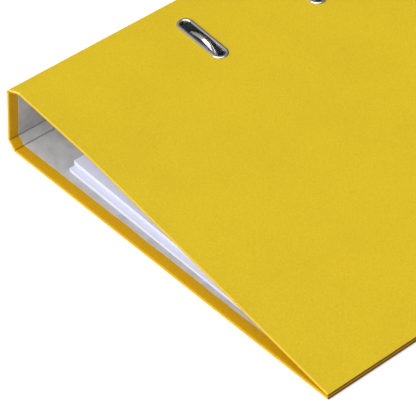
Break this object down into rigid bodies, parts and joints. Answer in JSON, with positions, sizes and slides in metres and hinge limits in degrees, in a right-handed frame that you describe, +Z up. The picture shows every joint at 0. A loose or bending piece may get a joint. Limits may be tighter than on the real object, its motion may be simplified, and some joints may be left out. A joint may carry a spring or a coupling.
{
  "type": "lever arch file",
  "caption": "A4 lever arch file: hinged board covers and spine with a lever-opened arch mechanism, posts and compressor bar that hold punched sheets.",
  "frame": {"origin": "centre of the back cover's outer face, at floor level, with the closed file lying on its back cover", "axes": "+X from the spine to the fore edge, +Y along the spine, +Z up through the closed file"},
  "size_m": [0.285, 0.32, 0.048],
  "materials": {
    "yellow_covering": "fine mottled grain, satin",
    "grey_board": "matte",
    "grey_lining": "mottled, matte",
    "nickel": "polished nickel plate",
    "zinc_plate": "bright zinc plate",
    "spring_steel": "blued spring steel",
    "rivet_metal": "nickel plated, satin",
    "white_paper": "matte",
    "label_paper": "matte",
    "clear_film": "clear film"
  },
  "bodies": {
    "back_cover": {"back_board": "grey_board", "back_covering": "yellow_covering", "back_lining": "grey_lining", "base_plate": "zinc_plate", "lever_axle": "zinc_plate", "leaf_spring": "spring_steel", "post_1": "nickel", "post_2": "nickel", "rivets": "rivet_metal", "lower_sheets": "white_paper", "upper_sheets": "white_paper"},
    "hinge_strip": {"strip_board": "grey_board", "strip_covering": "yellow_covering", "strip_lining": "grey_lining"},
    "spine": {"spine_board": "grey_board", "spine_covering": "yellow_covering", "spine_lining": "grey_lining", "finger_ring": "nickel", "spine_label": "label_paper", "label_pocket": "clear_film"},
    "front_cover": {"front_board": "grey_board", "front_covering": "yellow_covering", "front_lining": "grey_lining", "slot_eyelet_1": "nickel", "slot_eyelet_2": "nickel"},
    "arches": {"arch_wire": "nickel"},
    "lever": {"lever": "nickel", "lever_cam_pin": "zinc_plate"},
    "compressor": {"compressor_bar": "zinc_plate"}
  },
  "joints": [
    {"name": "strip_crease", "type": "hinge", "parent": "back_cover", "child": "hinge_strip", "pos_m": [-0.1362, 0, 0], "axis": [0, -1, 0], "range_deg": [0, 45]},
    {"name": "spine_crease", "type": "hinge", "parent": "hinge_strip", "child": "spine", "pos_m": [-0.1425, 0, 0.0063], "axis": [0, -1, 0], "range_deg": [0, 50]},
    {"name": "front_cover_crease", "type": "hinge", "parent": "spine", "child": "front_cover", "pos_m": [-0.1382, 0, 0.048], "axis": [0, -1, 0], "range_deg": [0, 178]},
    {"name": "lever_axle_turn", "type": "hinge", "parent": "back_cover", "child": "lever", "pos_m": [-0.11, 0, 0.014], "axis": [0, 1, 0], "range_deg": [0, 76]},
    {"name": "arch_swing", "type": "hinge", "parent": "back_cover", "child": "arches", "pos_m": [-0.1015, 0, 0.0055], "axis": [0, -1, 0], "range_deg": [0, 38]},
    {"name": "compressor_slide", "type": "slide", "parent": "back_cover", "child": "compressor", "axis": [0, 0, 1], "range_m": [0, 0.0155]}
  ],
  "couplings": [
    {"joint": "arch_swing", "follows": "lever_axle_turn", "ratio": 0.5}
  ]
}
